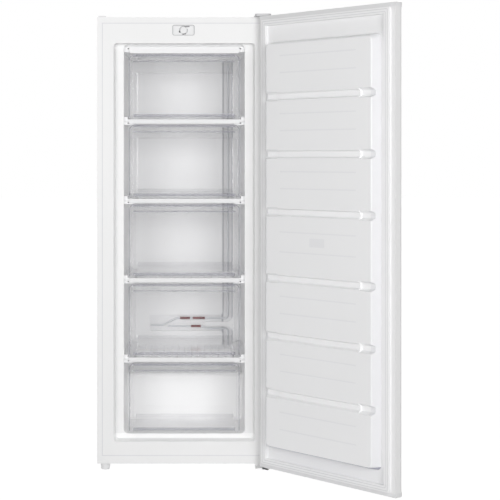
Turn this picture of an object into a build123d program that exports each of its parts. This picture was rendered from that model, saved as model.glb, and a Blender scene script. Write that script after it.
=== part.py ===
"""Upright freezer with five clear drawers and a right-hand hinged door.

Millimetres, +Z up. The origin is on the floor, under the middle of the cabinet. X runs to the right
and Y to the back, as seen by someone standing in front. The door stands open, and the drawers are in.
"""
from build123d import *
import math
import os

# ---------------------------------------------------------------------------- driving dimensions
# Cabinet shell
cabinet_width = 550.0
cabinet_depth = 500.0
cabinet_top = 1429.0
cabinet_bottom = 22.0
sheet = 0.8
side_flange = 17.0
top_flange = 19.0
rear_flange = 12.0
seal_flange_inset = 50.0
rail_height = 26.0
rail_depth = 46.0
rail_sheet = 1.2
rail_lip = 15.0

# Inner liner of the cabinet, depths measured from the cabinet's front plane
liner_wall = 2.0
rebate_side = 52.0
rebate_draft = 5.0
rebate_depth = 30.0
rebate_bottom = 92.0
rebate_radius = 10.0
cavity_side = 83.0
cavity_bottom = 111.0
cavity_top_drop = 82.0
cavity_rear_wall = 70.0
cavity_radius = 16.0
ledge_lead = 41.0
ledge_top = 267.0
ledge_radius = 14.0
channel_left = 130.0
channel_width = 35.0
channel_depth = 12.0
channel_end_gap = 10.0
channel_top_gap = 25.0
arm_end_gap = 4.0
upper_arm_half = 12.0
lower_arm_half = 7.5
channel_radius = 9.0
channel_bend = 22.0
tongue_left = 70.0
tongue_tip = 5.0

# Machine compartment behind the step in the liner
machine_depth = 189.0
machine_top = 225.0
plate_lead = 13.0
plate_thickness = 2.0

# Shelf levels: the height of the top of each shelf trim above the bottom drawer
lowest_shelf = 350.7
shelf_pitch = 252.5
shelf_count = 4
top_shelf_drop = 7.5
trim_end_gap = 16.0
trim_height = 14.0
top_trim_height = 21.5
trim_front = 40.0
trim_depth = 8.0
trim_tab_height = 5.0
trim_edge = 1.0
trim_corner = 2.0
top_trim_corner = 8.0

# Side rails that carry a shelf and guide the drawer over it
rail_foot_reach = 32.0
rail_foot_thickness = 4.0
rail_lip_thickness = 3.0
rail_guide_wall = 11.0
rail_guide_rise = 8.0
top_rail_rise = 4.0
rail_back_gap = 16.0

# Evaporator shelves, a tube with wires welded across it
evaporator_tube = 8.0
evaporator_wire = 2.0
evaporator_weld = 0.3
evaporator_passes = 8
evaporator_side_gap = 21.0
evaporator_front = 66.0
evaporator_back_gap = 42.0
evaporator_wire_count = 15
evaporator_wire_spill = 6.0
evaporator_overhang = 6.0
evaporator_play = 0.3

# Drawers
drawer_side_gap = 18.0
drawer_front_lap = 1.5
drawer_wall = 2.5
drawer_front_wall = 3.0
drawer_front_y = 41.0
drawer_back_gap = 18.0
bottom_drawer_back_gap = 24.0
drawer_play = 0.3
drawer_floor_rise = 11.0
drawer_front_rise = 7.0
drawer_top_gap = 5.0
drawer_side_drop = 34.0
drawer_corner = 12.0
skid_width = 13.0
grip_reach = 13.0
grip_drop = 23.0
grip_wall = 2.5
grip_edge = 2.0
skid_inset = 1.0
skid_end_gap = 24.0

# Refrigerant pipes on the back wall
stub_left = -118.0
stub_right = -76.0
stub_drop = 24.0
inlet_pipe = 6.0
outlet_pipe = 6.5
outlet_height = 431.0
inlet_drop = 28.0
riser_inset = 19.0
pipe_bend = 12.0
inlet_low_drop = 7.5
inlet_start = -59.0
inlet_bend_inset = 12.0
inlet_end_height = 300.0
sleeve_wall = 1.0
outlet_sleeve_x = -17.0
outlet_sleeve_length = 34.0
outlet_joint_x = 27.0
outlet_joint_length = 42.0
inlet_sleeve_x = 21.0
inlet_sleeve_length = 34.0

# Thermostat
thermostat_x = -2.5
thermostat_drop = 41.0
thermostat_width = 71.0
thermostat_height = 34.0
thermostat_corner = 7.0
thermostat_recess = 10.0
thermostat_wall = 1.5
switch_width = 44.0
switch_height = 30.0
switch_depth = 32.0
knob_diameter = 22.0
knob_sink = 0.5
knob_stem = 6.0
knob_stem_length = 22.0
knob_stem_end_gap = 4.0
knob_stem_play = 0.05
knob_hole_play = 0.6
knob_play = 0.3
knob_pointer = 1.2

# Door, closed position
door_bottom_drop = 2.0
door_top_drop = 1.0
door_thickness = 37.0
door_gap = 10.5
door_edge_radius = 18.0
door_rest_angle = 131.5
cap_height = 12.0
cap_proud = 1.0
cap_wall = 2.5
door_liner_wall = 1.6
gasket_inset = 14.0
gasket_width = 18.0
gasket_play = 0.3
gasket_base = 3.0
gasket_head = 4.6
gasket_neck_inset = 3.5
magnet_width = 10.0
magnet_height = 2.4
magnet_cover = 1.0
magnet_gap = 1.0

# Raised inner panel of the door and its cross grooves
plug_side = 52.0
plug_bottom_lead = 2.0
plug_top_gap = 2.5
plug_height = 33.5
plug_draft = 8.5
plug_corner = 14.0
plug_edge = 5.0
groove_centres = (264.0, 439.0, 617.0, 819.5, 996.5, 1173.0)
groove_mouth = 29.0
groove_floor = 15.0
groove_depth = 14.0
groove_round = 3.0
groove_rise = 5.0
groove_rise_half = 165.0
line_depth = 0.7
line_height = 4.0
line_half = 155.0
line_shares = (0.26, 0.61)
badge_width = 62.0
badge_height = 26.0
badge_depth = 0.5
badge_x = 0.0
badge_drop = 60.0

# Grip pocket in the upper end of the door
grip_pocket_left = -200.0
grip_pocket_right = -70.0
grip_pocket_front = 7.0
grip_pocket_width = 18.0
grip_pocket_depth = 30.0
grip_pocket_wall = 2.0

# Hinges
hinge_inset = 15.0
hinge_setback = 18.0
hinge_plate = 3.0
lower_plate = 4.0
hinge_side_gap = 3.0
hinge_width = 50.0
hinge_nose = 11.0
hinge_tail = 62.0
hinge_nose_corner = 10.0
hinge_collar = 16.0
hinge_collar_gap = 0.3
hinge_pin = 8.0
hinge_pin_play = 0.05
hinge_pin_depth = 20.0
hinge_pin_head = 12.0
hinge_pin_head_height = 2.5
hinge_door_gap = 3.0
bush_diameter = 15.0
bush_end = 3.0
hinge_cover_height = 4.2
hinge_cover_wall = 1.2
screw_head = 9.0
screw_head_height = 2.4
screw_shank = 4.8
screw_length = 12.0
screw_inset = 9.0
screw_front = 12.5
screw_edge = 0.8
hinge_pin_end_play = 0.5
hole_cap_height = 4.0
hole_cap_width = 25.0
hole_cap_length = 58.0
hole_cap_inset = 3.0
hole_cap_front = 2.0

# Feet
foot_side_gap = 25.0
foot_y = 26.0
foot_top_diameter = 29.0
foot_base_diameter = 26.0
foot_play = 0.3
foot_stud = 8.0
foot_stud_play = 0.05
foot_stud_gap = 3.0
foot_nut = 15.0
foot_nut_height = 8.0
rear_foot_diameter = 30.0
rear_foot_inset = 30.0
foot_edge = 1.5
rear_foot_edge = 2.0

# Compressor and its mounting
compressor_x = 110.0
compressor_back_gap = 98.0
compressor_diameter = 150.0
compressor_height = 148.0
compressor_dome = 40.0
compressor_seam = 4.0
compressor_seam_height = 5.0
compressor_seam_z = 74.0
foot_plate_length = 190.0
foot_plate_width = 120.0
foot_plate_thickness = 3.0
foot_plate_corner = 14.0
grommet_diameter = 22.0
grommet_height = 12.0
grommet_groove = 2.5
grommet_spacing_x = 162.0
grommet_spacing_y = 96.0
compressor_bolt = 6.0
compressor_bolt_head = 12.0
compressor_bolt_head_height = 4.0
relay_width = 62.0
relay_depth = 34.0
relay_height = 70.0
relay_wall = 2.0
relay_z = 66.0
relay_corner = 5.0
relay_overlap = 1.0
gland_diameter = 16.0
gland_length = 12.0
gland_bore = 7.0

# Pipes of the machine compartment and the condenser
pipe = 5.0
pipe_radius = 14.0
suction_pipe = 6.5
suction_x = 176.0
suction_z = 138.0
suction_reach = 42.0
discharge_x = 20.0
discharge_inset = 9.0
discharge_z = 128.0
drier_diameter = 18.0
drier_length = 96.0
drier_inset = 11.0
drier_z = 130.0
capillary = 2.4
capillary_z = 70.0
capillary_x = -120.0
capillary_radius = 10.0
capillary_stand_off = 21.2
condenser_side_gap = 50.0
condenser_bottom = 262.0
condenser_top_gap = 87.0
condenser_passes = 19
condenser_stand_off = 9.0
condenser_wire = 1.6
condenser_wire_count = 26
condenser_wire_overhang = 14.0
condenser_weld_gap = 0.02
condenser_wire_inset = 5.0
feed_side_gap = 23.0
feed_corner = 17.0
drier_neck = 1.0
bracket_height = 16.0
bracket_foot = 24.0
bracket_side_gap = 37.0
bracket_tongue = 40.0

# Cutting tools run past the surfaces that they cut, and contact is the width of a touch
over = 1.0
contact = 0.001

# ---------------------------------------------------------------------------- derived places
half_width = cabinet_width / 2
front_y = -cabinet_depth / 2
back_y = cabinet_depth / 2
inner_half = half_width - sheet
seal_half = half_width - side_flange
rail_top = cabinet_bottom + rail_height
fascia_top = cabinet_top - top_flange
panel_back_y = back_y - sheet
foam_back_y = panel_back_y - sheet
foam_front_y = front_y + liner_wall + sheet

rebate_half = half_width - rebate_side
cavity_half = half_width - cavity_side
cavity_top = cabinet_top - cavity_top_drop
cavity_back = cabinet_depth - cavity_rear_wall
machine_front = cabinet_depth - machine_depth
plate_front = machine_front - plate_lead
ledge_front = machine_front - ledge_lead

inlet_height = outlet_height - inlet_drop
inlet_low_height = inlet_height - inlet_low_drop
stub_height = outlet_height - stub_drop
cross_left = stub_left - arm_end_gap
cross_bottom = inlet_low_height - lower_arm_half
cross_top = outlet_height + upper_arm_half
tongue_bottom = inlet_low_height + lower_arm_half
tongue_top = outlet_height - upper_arm_half
inlet_bend_x = tongue_left + inlet_bend_inset
riser_x = channel_left + riser_inset
channel_bottom = inlet_end_height - channel_end_gap
channel_top = cavity_top - channel_top_gap

top_shelf = cavity_top - top_shelf_drop
shelf_tops = [lowest_shelf + shelf_pitch * i for i in range(shelf_count)] + [top_shelf]
trim_half = cavity_half - trim_end_gap
rail_foot_inner = cavity_half - rail_foot_reach
rail_back = cavity_back - rail_back_gap
evaporator_pitch = (cavity_back - evaporator_front - evaporator_back_gap) / (evaporator_passes - 1)
evaporator_run = 2 * (cavity_half - evaporator_side_gap) - evaporator_pitch
evaporator_wire_half = evaporator_run / 2 + evaporator_wire_spill
evaporator_wire_pitch = 2 * evaporator_wire_half / (evaporator_wire_count - 1)
deck_height = evaporator_tube + evaporator_wire - evaporator_weld
drawer_half = cavity_half - drawer_side_gap
drawer_front_half = drawer_half + drawer_front_lap
drawer_back = cavity_back - drawer_back_gap
bottom_drawer_back = ledge_front - bottom_drawer_back_gap
thermostat_z = cabinet_top - thermostat_drop

door_bottom = cabinet_bottom - door_bottom_drop
door_top = cabinet_top - door_top_drop
door_inner_y = front_y - door_gap
door_outer_y = door_inner_y - door_thickness
gasket_height = door_gap - gasket_play
plug_bottom = rebate_bottom - plug_bottom_lead
plug_top = cavity_top - plug_top_gap
pivot_x = half_width - hinge_inset
pivot_y = door_inner_y - hinge_setback
hinge_right = half_width - hinge_side_gap
hinge_left = hinge_right - hinge_width
foot_x = half_width - foot_side_gap
foot_stud_top = rail_top - sheet - foot_stud_gap

compressor_y = cabinet_depth - compressor_back_gap
condenser_half = half_width - condenser_side_gap
condenser_y = back_y + condenser_stand_off + pipe / 2
condenser_top = cabinet_top - condenser_top_gap
condenser_pitch = (condenser_top - condenser_bottom) / (condenser_passes - 1)
drier_x = drier_inset - condenser_half
feed_x = half_width - feed_side_gap
bracket_web_x = half_width - bracket_side_gap
bracket_tongue_x = bracket_web_x - bracket_tongue


# ---------------------------------------------------------------------------- drawing helpers
def block(x0, x1, y0, y1, z0, z1):
    """A box between two corners."""
    middle = Pos((x0 + x1) / 2, (y0 + y1) / 2, (z0 + z1) / 2)
    return middle * Box(x1 - x0, y1 - y0, z1 - z0)


def upright(x, y, z0, z1, diameter):
    """A round bar standing between two heights."""
    return Pos(x, y, (z0 + z1) / 2) * Cylinder(diameter / 2, z1 - z0)


def lying(x, z, y0, y1, diameter):
    """A round bar along Y."""
    return Pos(x, (y0 + y1) / 2, z) * Rot(90, 0, 0) * Cylinder(diameter / 2, y1 - y0)


def across(y, z, x0, x1, diameter):
    """A round bar along X."""
    return Pos((x0 + x1) / 2, y, z) * Rot(0, 90, 0) * Cylinder(diameter / 2, x1 - x0)


def facing(x, y, z):
    """A drawing plane that faces the front: its own x is X and its own y is Z."""
    return Plane(origin=(x, y, z), x_dir=(1, 0, 0), z_dir=(0, -1, 0))


def frame_rectangle(x0, x1, z0, z1):
    """A flat rectangle between two corners, drawn as seen from the front."""
    return Pos((x0 + x1) / 2, (z0 + z1) / 2) * Rectangle(x1 - x0, z1 - z0)


def near_any(vertex, others):
    """Whether a corner lies where one of the others does."""
    return any((vertex.center() - other.center()).length < contact for other in others)


def rounded_prism(half, y0, y1, z0, z1, radius, x=0.0):
    """A prism along Y with rounded corners, as seen from the front."""
    outline = facing(x, y0, (z0 + z1) / 2) * RectangleRounded(2 * half, z1 - z0, radius)
    return extrude(outline, amount=-(y1 - y0))


def tube_along(points, radius, diameter):
    """A round tube along straight runs joined by arcs of one radius."""
    path = FilletPolyline(*points, radius=radius)
    section = Plane(origin=path @ 0, z_dir=path % 0) * Circle(diameter / 2)
    return sweep(section, path=path)


def serpentine(passes, run, pitch, diameter):
    """A tube to and fro along X, each pass a pitch further along Y, with half-turn bends."""
    path = []
    for number in range(passes):
        y = number * pitch
        side = 1 if number % 2 == 0 else -1
        start = (-side * run / 2, y)
        end = (side * run / 2, y)
        path.append(Line(start, end))
        if number < passes - 1:
            outermost = (side * (run / 2 + pitch / 2), y + pitch / 2)
            path.append(ThreePointArc(end, outermost, (side * run / 2, y + pitch)))
    wire = Wire(path)
    section = Plane(origin=wire @ 0, z_dir=wire % 0) * Circle(diameter / 2)
    return sweep(section, path=wire)


def mirrored(piece):
    """The same piece on the other side of the cabinet."""
    return mirror(piece, about=Plane.YZ)


# ---------------------------------------------------------------------------- cabinet shell
def side_panel():
    """Right side: one folded sheet with a front flange that steps back behind the liner's edge."""
    wall = block(inner_half, half_width, front_y, back_y, cabinet_bottom, cabinet_top)
    flange = block(seal_half, half_width, front_y, front_y + sheet, cabinet_bottom, cabinet_top)
    seal_back = front_y + liner_wall + sheet
    joggle = block(seal_half, seal_half + sheet, front_y, seal_back, rail_top, fascia_top)
    seal_edge = half_width - seal_flange_inset
    behind = block(seal_edge, seal_half + sheet, seal_back - sheet, seal_back, rail_top, fascia_top)
    rear = block(half_width - rear_flange, half_width, back_y - sheet, back_y, cabinet_bottom, cabinet_top)
    return wall + flange + joggle + behind + rear


def hinge_screw_places():
    """Middle of each hinge screw, the same above and below the cabinet."""
    left = hinge_left + screw_inset
    right = hinge_right - screw_inset
    near = front_y + screw_front
    far = front_y + hinge_tail - screw_inset
    return [(left, far), (right, far), (left, near)]


def top_panel():
    """Flat top with a front flange between the side panels."""
    flat = block(-inner_half, inner_half, front_y + sheet, panel_back_y, cabinet_top - sheet,
                 cabinet_top)
    flange = block(-seal_half, seal_half, front_y, front_y + sheet, fascia_top, cabinet_top)
    panel = flat + flange
    for x, y in hinge_screw_places():
        panel -= upright(x, y, cabinet_top - 2 * sheet, cabinet_top + sheet, screw_shank)
    return panel


def back_panel():
    """Flat sheet that closes the insulation at the back."""
    return block(-inner_half, inner_half, foam_back_y, panel_back_y, machine_top, cabinet_top - sheet)


def base_rail():
    """Folded rail across the front of the base, with a weld nut over each front foot."""
    face = block(-seal_half, seal_half, front_y, front_y + rail_sheet, cabinet_bottom, rail_top)
    rear_y = front_y + rail_depth
    floor = block(-inner_half, inner_half, front_y + rail_sheet, rear_y, cabinet_bottom,
                  cabinet_bottom + rail_sheet)
    lip = block(-inner_half, inner_half, front_y + rail_sheet, front_y + rail_lip,
                rail_top - sheet - rail_sheet, rail_top - sheet)
    rear = block(-inner_half, inner_half, rear_y - rail_sheet, rear_y, cabinet_bottom,
                 rail_top - sheet)
    rail = face + floor + lip + rear
    nut_bottom = cabinet_bottom + rail_sheet
    for x in (-foot_x, foot_x):
        middle = Pos(x, front_y + foot_y, nut_bottom)
        rail += middle * extrude(RegularPolygon(foot_nut / 2, 6), amount=foot_nut_height)
        rail -= upright(x, front_y + foot_y, cabinet_bottom - over, foot_stud_top,
                        foot_stud + 2 * foot_stud_play)
    for x, y in hinge_screw_places():
        rail -= upright(x, y, cabinet_bottom - over, nut_bottom + over, screw_shank)
    return rail


def bottom_panel():
    """Flat sheet under the insulation, from the rail to the machine compartment."""
    rear_y = front_y + machine_front
    return block(-inner_half, inner_half, foam_front_y, rear_y, rail_top - sheet, rail_top)


def machine_wall():
    """Folded sheet that walls off the machine compartment from the insulation."""
    near = front_y + machine_front
    wall = block(-inner_half, inner_half, near, near + sheet, cabinet_bottom + plate_thickness, machine_top)
    roof = block(-inner_half, inner_half, near, panel_back_y, machine_top - sheet, machine_top)
    return wall + roof


def compressor_plate():
    """Thick plate under the machine compartment, with the holes of the compressor bolts."""
    plate = block(-inner_half, inner_half, front_y + plate_front, panel_back_y, cabinet_bottom,
                  cabinet_bottom + plate_thickness)
    for x, y in grommet_places():
        plate -= upright(x, y, cabinet_bottom - over, cabinet_bottom + plate_thickness + over,
                         compressor_bolt)
    return plate


# ---------------------------------------------------------------------------- inner liner
def rebate(extra):
    """The stepped mouth that takes the door's inner panel, swollen by extra on every side."""
    centre = (rebate_bottom + cavity_top) / 2
    height = cavity_top - rebate_bottom + 2 * extra
    draft_height = height - rebate_draft
    mouth = facing(0, front_y, centre) * RectangleRounded(
        2 * (rebate_half + extra), height, rebate_radius)
    floor = facing(0, front_y + rebate_depth + extra, centre + rebate_draft / 2) * RectangleRounded(
        2 * (rebate_half + extra - rebate_draft), draft_height, rebate_radius)
    return loft([mouth, floor])


def ledge(extra):
    """The raised floor over the machine compartment, drawn in by extra."""
    near = front_y + ledge_front + extra
    form = block(-half_width, half_width, near, back_y, cabinet_bottom, ledge_top - extra)
    edge = form.edges().filter_by(Axis.X).group_by(Axis.Z)[-1].sort_by(Axis.Y)[0]
    return fillet(edge, ledge_radius - extra)


def channel(extra):
    """The pipe channel pressed into the back wall: a cross arm that forks up and down."""
    right = channel_left + channel_width + extra
    left = channel_left - extra
    riser = frame_rectangle(left, right, channel_bottom - extra, channel_top + extra)
    arm = frame_rectangle(cross_left - extra, right, cross_bottom - extra, cross_top + extra)
    tongue_low = tongue_bottom + extra
    tongue_high = tongue_top - extra
    tongue = frame_rectangle(tongue_left + extra, right + extra + channel_width, tongue_low, tongue_high)
    outline = riser + arm - tongue
    by_x = outline.vertices().group_by(Axis.X)
    bends = [v for v in by_x[-1] if tongue_low - tongue_tip < v.Y < tongue_high + tongue_tip]
    tips = [v for v in outline.vertices() if abs(v.X - tongue_left - extra) < tongue_tip]
    plain = [v for v in outline.vertices() if v not in bends and v not in tips]
    outline = fillet(bends, channel_bend)
    outline = fillet([v for v in outline.vertices() if near_any(v, tips)], tongue_tip)
    outline = fillet([v for v in outline.vertices() if near_any(v, plain)], channel_radius)
    depth = channel_depth + extra + cavity_radius
    near = front_y + cavity_back - cavity_radius
    return extrude(facing(0, near, 0) * outline, amount=-depth)


def cavity(extra):
    """The storage space of the cabinet, swollen by extra on every side."""
    near = front_y + rebate_depth - rebate_draft
    far = front_y + cavity_back + extra
    space = rounded_prism(cavity_half + extra, near, far, cavity_bottom - extra, cavity_top + extra,
                          cavity_radius)
    space = fillet(space.faces().sort_by(Axis.Y)[-1].edges(), ledge_radius)
    return space - ledge(extra) + channel(extra)


def cabinet_liner():
    """One vacuum-formed sheet: front flange, stepped mouth and storage space."""
    flange = block(-seal_half, seal_half, front_y, front_y + liner_wall, rail_top, fascia_top)
    form = flange + rebate(liner_wall) + cavity(liner_wall)
    form -= rebate(0)
    form -= cavity(0)
    form -= thermostat_tub_form()
    return form


def cabinet_insulation():
    """Rigid foam that fills the space between the liner and the outer sheets."""
    foam = block(-inner_half, inner_half, foam_front_y, foam_back_y, rail_top, cabinet_top - sheet)
    foam -= rebate(liner_wall)
    foam -= cavity(liner_wall)
    foam -= block(-half_width, half_width, front_y + machine_front, back_y, cabinet_bottom, machine_top)
    foam -= thermostat_tub_form()
    foam -= thermostat_switch_form()
    for x, y in hinge_screw_places():
        foam -= upright(x, y, cabinet_top - screw_length, cabinet_top, screw_shank)
    return foam


# ---------------------------------------------------------------------------- thermostat
def thermostat_tub_form():
    """Outer form of the recessed tub in the fascia."""
    low = thermostat_z - thermostat_height / 2
    high = thermostat_z + thermostat_height / 2
    return rounded_prism(thermostat_width / 2, front_y, front_y + thermostat_recess, low, high,
                         thermostat_corner, thermostat_x)


def thermostat_switch_form():
    """Outer form of the switch behind the tub."""
    near = front_y + thermostat_recess
    return block(thermostat_x - switch_width / 2, thermostat_x + switch_width / 2, near,
                 near + switch_depth, thermostat_z - switch_height / 2,
                 thermostat_z + switch_height / 2)


def thermostat_tub():
    """Recessed plastic tub round the knob."""
    low = thermostat_z - thermostat_height / 2 + thermostat_wall
    high = thermostat_z + thermostat_height / 2 - thermostat_wall
    floor_y = front_y + thermostat_recess - thermostat_wall
    inside = rounded_prism(thermostat_width / 2 - thermostat_wall, front_y - over, floor_y, low, high,
                           thermostat_corner - thermostat_wall, thermostat_x)
    stem_hole = lying(thermostat_x, thermostat_z, floor_y - over, floor_y + 2 * thermostat_wall,
                      knob_stem + 2 * knob_hole_play)
    return thermostat_tub_form() - inside - stem_hole


def thermostat_switch():
    """Switch body with the bore that the knob's stem turns in."""
    near = front_y + thermostat_recess
    bore = lying(thermostat_x, thermostat_z, near - over, near + knob_stem_length,
                 knob_stem + 2 * knob_stem_play)
    return thermostat_switch_form() - bore


def thermostat_knob():
    """Round knob with a raised pointer and a stem."""
    back = front_y + thermostat_recess - thermostat_wall - knob_play
    crest = front_y + knob_sink
    face = crest + knob_pointer
    knob = lying(thermostat_x, thermostat_z, face, back, knob_diameter)
    knob = chamfer(knob.faces().sort_by(Axis.Y)[0].edges(), knob_pointer)
    pointer = block(thermostat_x - knob_diameter / 2 + knob_pointer, thermostat_x, crest,
                    face, thermostat_z - knob_pointer, thermostat_z + knob_pointer)
    stem = lying(thermostat_x, thermostat_z, back, back + knob_stem_length - knob_stem_end_gap, knob_stem)
    return knob + pointer + stem


# ---------------------------------------------------------------------------- shelves
def shelf_trim(top, height, corner):
    """White strip across the front of a shelf, with a tab at each end."""
    near = front_y + trim_front
    strip = rounded_prism(trim_half, near, near + trim_depth, top - height, top, corner)
    strip = fillet(strip.faces().sort_by(Axis.Y)[0].edges(), trim_edge)
    tab_middle = top - height / 2
    tabs = block(-cavity_half, cavity_half, near + trim_depth / 2, near + trim_depth,
                 tab_middle - trim_tab_height / 2, tab_middle + trim_tab_height / 2)
    return strip + tabs


def rail_pair(top, rise):
    """Left and right side rails: a foot for the drawer over a slot for the shelf's edge."""
    near = front_y + trim_front + trim_depth
    far = front_y + rail_back
    slot_bottom = top - rail_foot_thickness - deck_height - evaporator_play
    wall_inner = cavity_half - rail_guide_wall
    bottom = slot_bottom - rail_lip_thickness
    wall = block(wall_inner, cavity_half, near, far, bottom, top + rise)
    foot = block(rail_foot_inner, wall_inner, near, far, top - rail_foot_thickness, top)
    lip = block(rail_foot_inner, wall_inner, near, far, bottom, slot_bottom)
    rail = (wall + foot + lip) & cavity(0)
    return [rail, mirrored(rail)]


def shelf_rails():
    """All the side rails, two at each shelf."""
    rails = []
    for top in shelf_tops:
        rise = top_rail_rise if top == top_shelf else rail_guide_rise
        rails += rail_pair(top, rise)
    return group(rails)


def evaporator_shelf_form():
    """Tube to and fro under a row of wires, lying at height zero."""
    tube = serpentine(evaporator_passes, evaporator_run, evaporator_pitch, evaporator_tube)
    wire_z = (evaporator_tube + evaporator_wire) / 2 - evaporator_weld
    wire_end = evaporator_pitch * (evaporator_passes - 1) + evaporator_overhang
    wires = [
        lying(evaporator_wire_pitch * i - evaporator_wire_half, wire_z, -evaporator_overhang, wire_end,
              evaporator_wire)
        for i in range(evaporator_wire_count)
    ]
    return tube.fuse(*wires)


def place_evaporator(form, top):
    """Seat a shelf in the slots of its rails."""
    seat = top - rail_foot_thickness - deck_height - evaporator_play
    return Pos(0, front_y + evaporator_front, seat + evaporator_tube / 2) * form


# ---------------------------------------------------------------------------- drawers
def drawer(support, ceiling, back):
    """Clear open-topped drawer with a folded grip along the top of its front."""
    floor = support + drawer_floor_rise
    front_top = ceiling - drawer_top_gap
    side_top = front_top - drawer_side_drop
    face = front_y + drawer_front_y
    rear = front_y + back
    middle = (face + drawer_front_wall + rear) / 2
    length = rear - face - drawer_front_wall
    outer = Pos(0, middle, floor) * extrude(
        RectangleRounded(2 * drawer_half, length + 2 * drawer_corner, drawer_corner),
        amount=side_top - floor)
    outer = fillet(outer.faces().sort_by(Axis.Z)[0].edges(), drawer_corner / 2)
    inner = Pos(0, middle, floor + drawer_wall) * extrude(
        RectangleRounded(2 * (drawer_half - drawer_wall),
                         length + 2 * (drawer_corner - drawer_wall),
                         drawer_corner - drawer_wall),
        amount=side_top - floor)
    inner = fillet(inner.faces().sort_by(Axis.Z)[0].edges(), drawer_corner / 3)
    shift = Pos(0, -drawer_corner, 0)
    tray = shift * outer - shift * inner
    tray = tray - block(-half_width, half_width, front_y - cabinet_depth, face + drawer_front_wall,
                        floor - over, side_top + over)
    plate = rounded_prism(drawer_front_half, face, face + drawer_front_wall,
                          support + drawer_front_rise, front_top, drawer_corner)
    lip_half = drawer_front_half - drawer_corner
    lip_top = block(-lip_half, lip_half, face - grip_reach, face, front_top - grip_wall, front_top)
    lip_face = block(-lip_half, lip_half, face - grip_reach, face - grip_reach + grip_wall,
                     front_top - grip_drop, front_top)
    grip = lip_top + lip_face
    upper_edge = grip.edges().filter_by(Axis.X).group_by(Axis.Z)[-1].sort_by(Axis.Y)[0]
    grip = fillet(upper_edge, grip_edge)
    skid = block(drawer_half - skid_width, drawer_half - skid_inset, face + drawer_front_wall,
                 rear - skid_end_gap, support + drawer_play, floor + drawer_wall / 2)
    return tray + plate + grip + skid + mirrored(skid)


def drawer_places():
    """Support height, ceiling height and back of each drawer, from the top one down."""
    supports = [cavity_bottom] + shelf_tops[:-1]
    ceilings = [top - trim_height for top in shelf_tops[:-1]] + [top_shelf - top_trim_height]
    backs = [bottom_drawer_back] + [drawer_back] * shelf_count
    return list(reversed(list(zip(supports, ceilings, backs))))


# ---------------------------------------------------------------------------- pipes on the back wall
def pipe_plane_y(diameter):
    """Middle of a pipe whose sleeve lies on the channel's back."""
    return front_y + cavity_back + channel_depth - sleeve_wall - diameter / 2


def outlet_route():
    """Route of the suction pipe from the stub to the top of the channel."""
    y = pipe_plane_y(outlet_pipe)
    return [
        (stub_left, y, stub_height),
        (stub_right, y, stub_height),
        (outlet_sleeve_x - pipe_bend, y, outlet_height),
        (riser_x, y, outlet_height),
        (riser_x, y, channel_top - pipe_bend),
    ]


def inlet_route():
    """Route of the liquid pipe, under the tongue and down the lower arm of the channel."""
    y = pipe_plane_y(inlet_pipe)
    return [
        (inlet_start, y, inlet_height),
        (inlet_sleeve_x + inlet_sleeve_length, y, inlet_height),
        (inlet_bend_x, y, inlet_low_height),
        (riser_x, y, inlet_low_height),
        (riser_x, y, inlet_end_height),
    ]


def sleeve(y, z, x, length, diameter):
    """Shrunk sleeve round a straight run of pipe."""
    outside = across(y, z, x, x + length, diameter + 2 * sleeve_wall)
    inside = across(y, z, x - over, x + length + over, diameter)
    return outside - inside


# ---------------------------------------------------------------------------- door
def door_outline(grow):
    """Plan of the door, its two front edges rounded, grown by grow except at the inner face."""
    left = -half_width - grow
    right = half_width + grow
    outer = door_outer_y - grow
    outline = Pos(0, (outer + door_inner_y) / 2) * Rectangle(right - left, door_inner_y - outer)
    front_corners = outline.vertices().group_by(Axis.Y)[0]
    return fillet(front_corners, door_edge_radius)


def door_slab(grow, z0, z1):
    """The door's plan, between two heights."""
    return Pos(0, 0, z0) * extrude(door_outline(grow), amount=z1 - z0)


def plug_block(inward, draft):
    """Raised block on the door's inner face, drawn in by inward, its sides leaning in by draft."""
    low = plug_bottom + inward
    high = plug_top - inward
    half = half_width - plug_side - inward
    base = facing(0, door_inner_y - door_liner_wall, (low + high) / 2) * RectangleRounded(
        2 * half, high - low, plug_corner)
    crest = facing(0, door_inner_y + plug_height - inward, (low + high) / 2) * RectangleRounded(
        2 * (half - draft), high - low - 2 * draft, plug_corner)
    return loft([base, crest])


def plug_outside():
    """The raised panel as it is seen, with rounded edges and cross grooves."""
    form = plug_block(0, plug_draft)
    form = fillet(form.faces().sort_by(Axis.Y)[-1].edges(), plug_edge)
    for centre in groove_centres:
        form -= groove(centre, 0, groove_round)
    return form


def plug_inside():
    """The hollow behind the raised panel, with plain edges that leave the wall its thickness."""
    form = plug_block(door_liner_wall, plug_draft + plug_edge / 2)
    for centre in groove_centres:
        form -= groove(centre, door_liner_wall, 0)
    return form


def groove(centre, grow, corner):
    """Cross groove with sloping sides, deepest at its two ends."""
    deep = groove_bar(centre, grow, groove_depth, half_width, corner)
    shallow = groove_bar(centre, grow, groove_depth - groove_rise, groove_rise_half, corner)
    middle_half = groove_rise_half - grow
    middle = block(-middle_half, middle_half, door_inner_y - plug_height,
                   door_inner_y + 2 * plug_height, centre - groove_mouth, centre + groove_mouth)
    return (deep - middle) + shallow


def groove_bar(centre, grow, depth, half_length, corner):
    """A bar along X with the groove's section: a flat floor and two sloping sides."""
    top_y = door_inner_y + plug_height + over
    floor_y = door_inner_y + plug_height - depth - grow
    slope = (groove_mouth - groove_floor) / 2 / groove_depth
    mouth = groove_floor / 2 + slope * (depth + over) + grow
    floor = groove_floor / 2 + grow
    outline = Polyline((top_y, -mouth), (floor_y, -floor), (floor_y, floor), (top_y, mouth), close=True)
    face = make_face(outline)
    if corner:
        face = fillet(face.vertices().group_by(Axis.X)[0], corner)
    plane = Plane(origin=(-half_length, 0, centre), x_dir=(0, 1, 0), z_dir=(1, 0, 0))
    return extrude(plane * face, amount=2 * half_length)


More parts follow.
